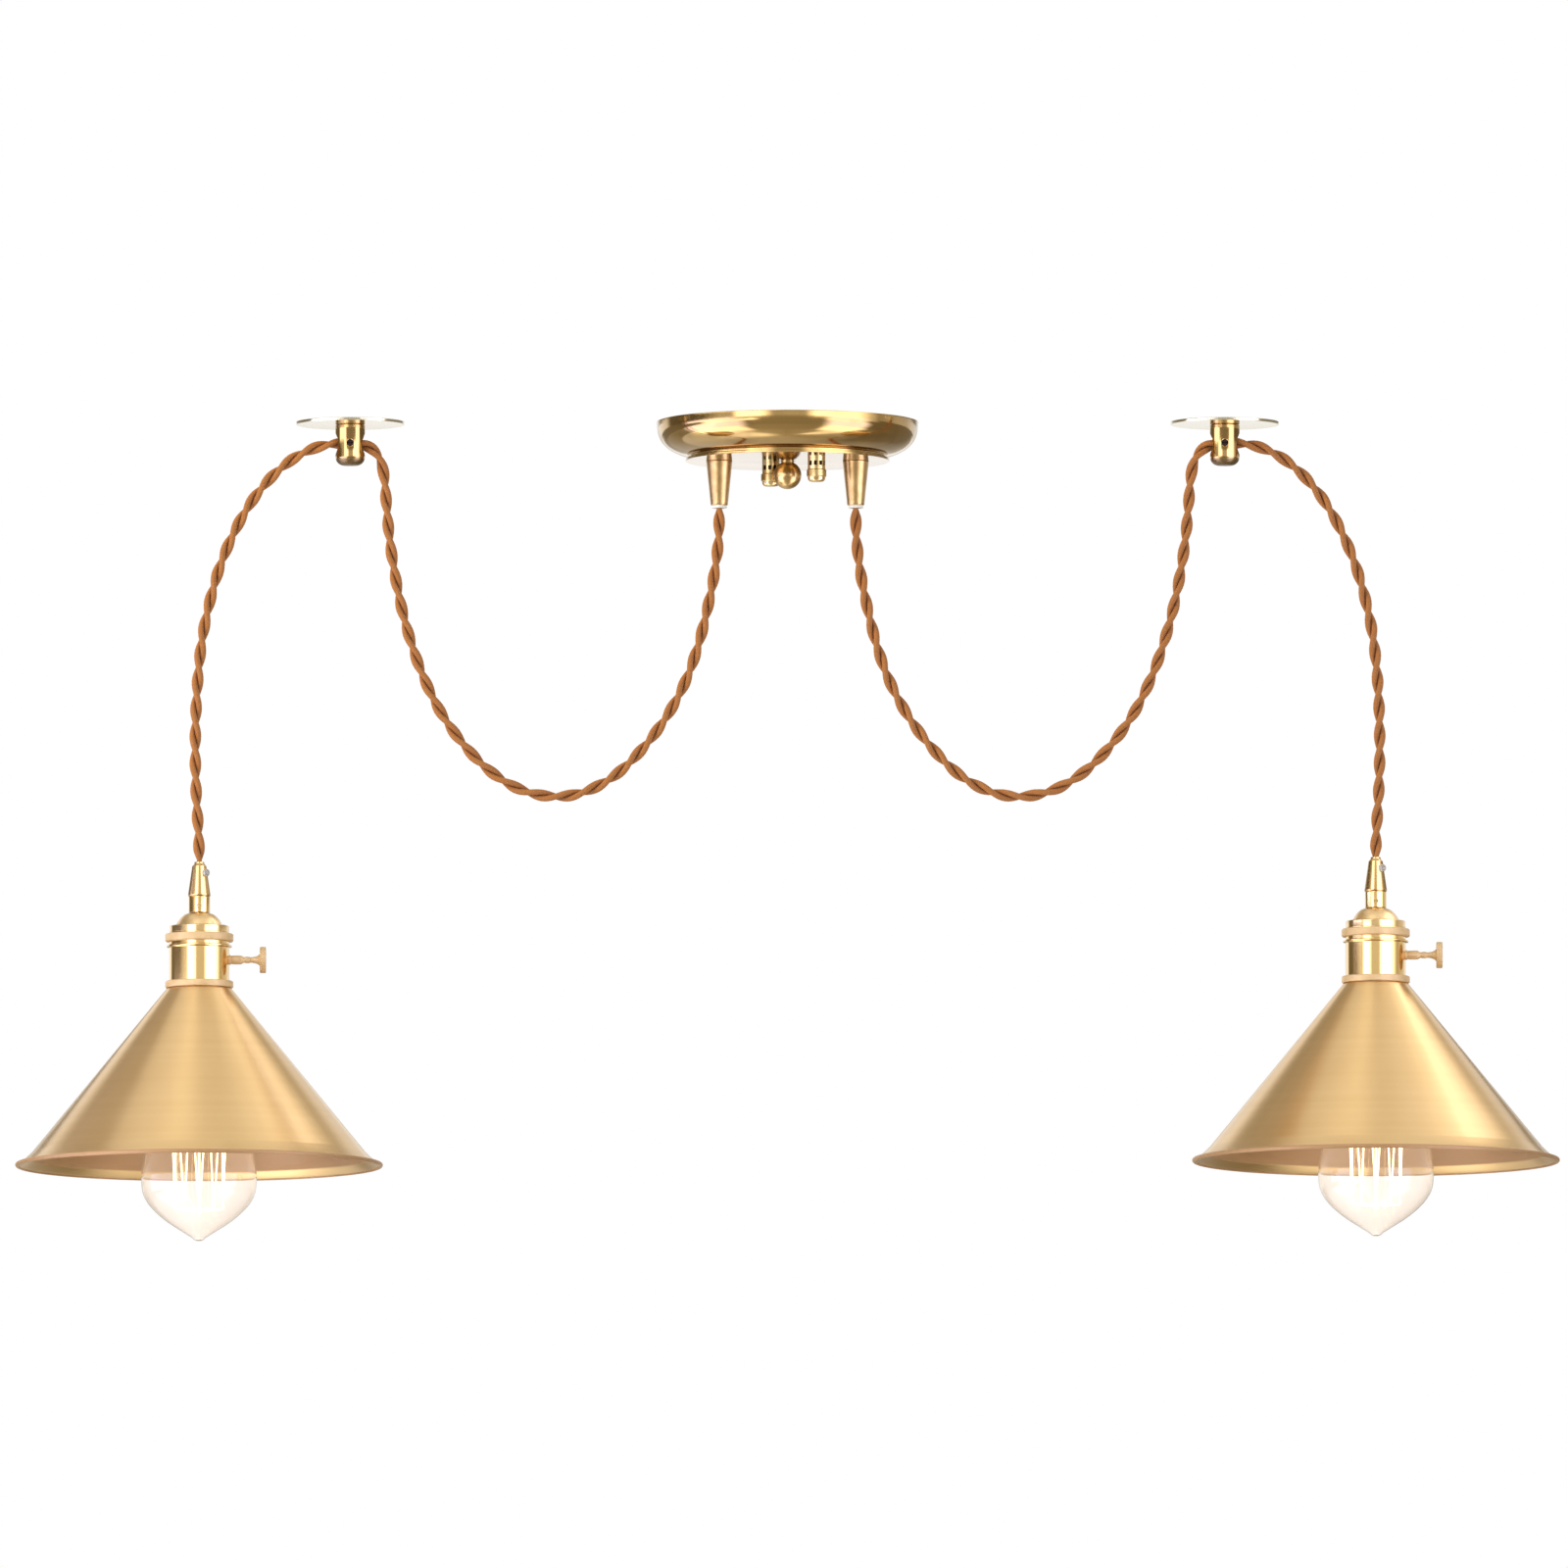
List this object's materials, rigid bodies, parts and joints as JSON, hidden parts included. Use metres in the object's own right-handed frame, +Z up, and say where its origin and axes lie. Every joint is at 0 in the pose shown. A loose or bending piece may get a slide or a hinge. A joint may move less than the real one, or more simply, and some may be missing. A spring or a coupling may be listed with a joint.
{
  "type": "rise and fall pendant",
  "caption": "Swag pendant: a round canopy feeds twisted cords through clamping ceiling hooks to key-switched lampholders with conical spun shades and clear bulbs.",
  "frame": {"origin": "centre of the canopy on the ceiling plane, between the two slots for the ceiling screws", "axes": "+Z up into the ceiling, X along the line of the two hooks, -Y towards the viewer"},
  "size_m": [0.882, 0.21, 0.4699],
  "materials": {
    "brushed_brass": "brushed",
    "aged_brass": "satin",
    "polished_brass": "polished",
    "spun_brass": "fine circular brushing",
    "zinc_steel": "zinc plated",
    "dark_steel": "black",
    "white_nylon": "satin",
    "clear_nylon": "translucent",
    "white_plastic": "moulded",
    "wire_sleeve": "smooth",
    "cord_fabric": "woven sleeve, twisted pair",
    "porcelain": "glazed",
    "copper_alloy": "bright",
    "clear_glass": "clear",
    "filament_glow": "glowing"
  },
  "bodies": {
    "root": {"ceiling_bracket": "zinc_steel", "bracket_studs": "zinc_steel", "canopy_cover": "brushed_brass", "knurled_nuts": "aged_brass", "ball_finial": "aged_brass", "finial_lock_nut": "zinc_steel", "left_canopy_grip": "brushed_brass", "right_canopy_grip": "brushed_brass", "grip_nipples": "zinc_steel", "grip_lock_nuts": "zinc_steel", "grip_bushes": "white_nylon", "terminal_block": "white_plastic", "terminal_screws": "zinc_steel", "canopy_wires": "wire_sleeve", "left_hook_plate": "polished_brass", "right_hook_plate": "polished_brass", "left_hook_barrel": "polished_brass", "right_hook_barrel": "polished_brass"},
    "left_screw": {"left_hook_screw": "dark_steel"},
    "left_swag": {"left_swag_cord": "cord_fabric"},
    "left_drop": {"left_drop_cord": "cord_fabric"},
    "left_lamp": {"left_lamp_grip": "polished_brass", "left_grip_screw": "clear_nylon", "left_collar": "polished_brass", "left_collar_screw": "polished_brass", "left_holder_cap": "polished_brass", "left_upper_ring": "polished_brass", "left_holder_body": "polished_brass", "left_lower_ring": "polished_brass", "left_inner_ring": "polished_brass", "left_insulator": "porcelain", "left_thread_shell": "copper_alloy", "left_centre_contact": "copper_alloy", "left_shade": "spun_brass"},
    "left_key": {"left_switch_key": "polished_brass"},
    "left_bulb": {"left_bulb_glass": "clear_glass", "left_bulb_cap": "copper_alloy", "left_filament": "filament_glow"},
    "right_screw": {"right_hook_screw": "dark_steel"},
    "right_swag": {"right_swag_cord": "cord_fabric"},
    "right_drop": {"right_drop_cord": "cord_fabric"},
    "right_lamp": {"right_lamp_grip": "polished_brass", "right_grip_screw": "clear_nylon", "right_collar": "polished_brass", "right_collar_screw": "polished_brass", "right_holder_cap": "polished_brass", "right_upper_ring": "polished_brass", "right_holder_body": "polished_brass", "right_lower_ring": "polished_brass", "right_inner_ring": "polished_brass", "right_insulator": "porcelain", "right_thread_shell": "copper_alloy", "right_centre_contact": "copper_alloy", "right_shade": "spun_brass"},
    "right_key": {"right_switch_key": "polished_brass"},
    "right_bulb": {"right_bulb_glass": "clear_glass", "right_bulb_cap": "copper_alloy", "right_filament": "filament_glow"}
  },
  "joints": [
    {"name": "left_lamp_rise", "type": "slide", "parent": "root", "child": "left_drop", "axis": [0, 0, 1], "range_m": [-0.15, 0.1], "deforming": ["left_drop_cord"]},
    {"name": "left_swag_sag", "type": "slide", "parent": "root", "child": "left_swag", "axis": [0, 0, 1], "range_m": [-0.056, 0.082], "deforming": ["left_swag_cord"]},
    {"name": "left_lamp_swing", "type": "hinge", "parent": "left_drop", "child": "left_lamp", "pos_m": [-0.336, 0, -0.2525], "axis": [0, 1, 0], "range_deg": [-15, 15]},
    {"name": "left_switch_turn", "type": "hinge", "parent": "left_lamp", "child": "left_key", "pos_m": [-0.306, 0, -0.3086], "axis": [1, 0, 0], "continuous": true},
    {"name": "left_bulb_out", "type": "slide", "parent": "left_lamp", "child": "left_bulb", "axis": [0, 0, -1], "range_m": [0, 0.12]},
    {"name": "left_clamp_turn", "type": "hinge", "parent": "root", "child": "left_screw", "pos_m": [-0.25, -0.006, -0.0125], "axis": [0, 1, 0], "range_deg": [0, 720]},
    {"name": "right_lamp_rise", "type": "slide", "parent": "root", "child": "right_drop", "axis": [0, 0, 1], "range_m": [-0.15, 0.1], "deforming": ["right_drop_cord"]},
    {"name": "right_swag_sag", "type": "slide", "parent": "root", "child": "right_swag", "axis": [0, 0, 1], "range_m": [-0.056, 0.082], "deforming": ["right_swag_cord"]},
    {"name": "right_lamp_swing", "type": "hinge", "parent": "right_drop", "child": "right_lamp", "pos_m": [0.336, 0, -0.2497], "axis": [0, 1, 0], "range_deg": [-15, 15]},
    {"name": "right_switch_turn", "type": "hinge", "parent": "right_lamp", "child": "right_key", "pos_m": [0.366, 0, -0.3058], "axis": [1, 0, 0], "continuous": true},
    {"name": "right_bulb_out", "type": "slide", "parent": "right_lamp", "child": "right_bulb", "axis": [0, 0, -1], "range_m": [0, 0.12]},
    {"name": "right_clamp_turn", "type": "hinge", "parent": "root", "child": "right_screw", "pos_m": [0.25, -0.006, -0.0125], "axis": [0, 1, 0], "range_deg": [0, 720]}
  ],
  "couplings": [
    {"joint": "left_swag_sag", "follows": "left_lamp_rise", "ratio": -0.52},
    {"joint": "right_swag_sag", "follows": "right_lamp_rise", "ratio": -0.52}
  ]
}
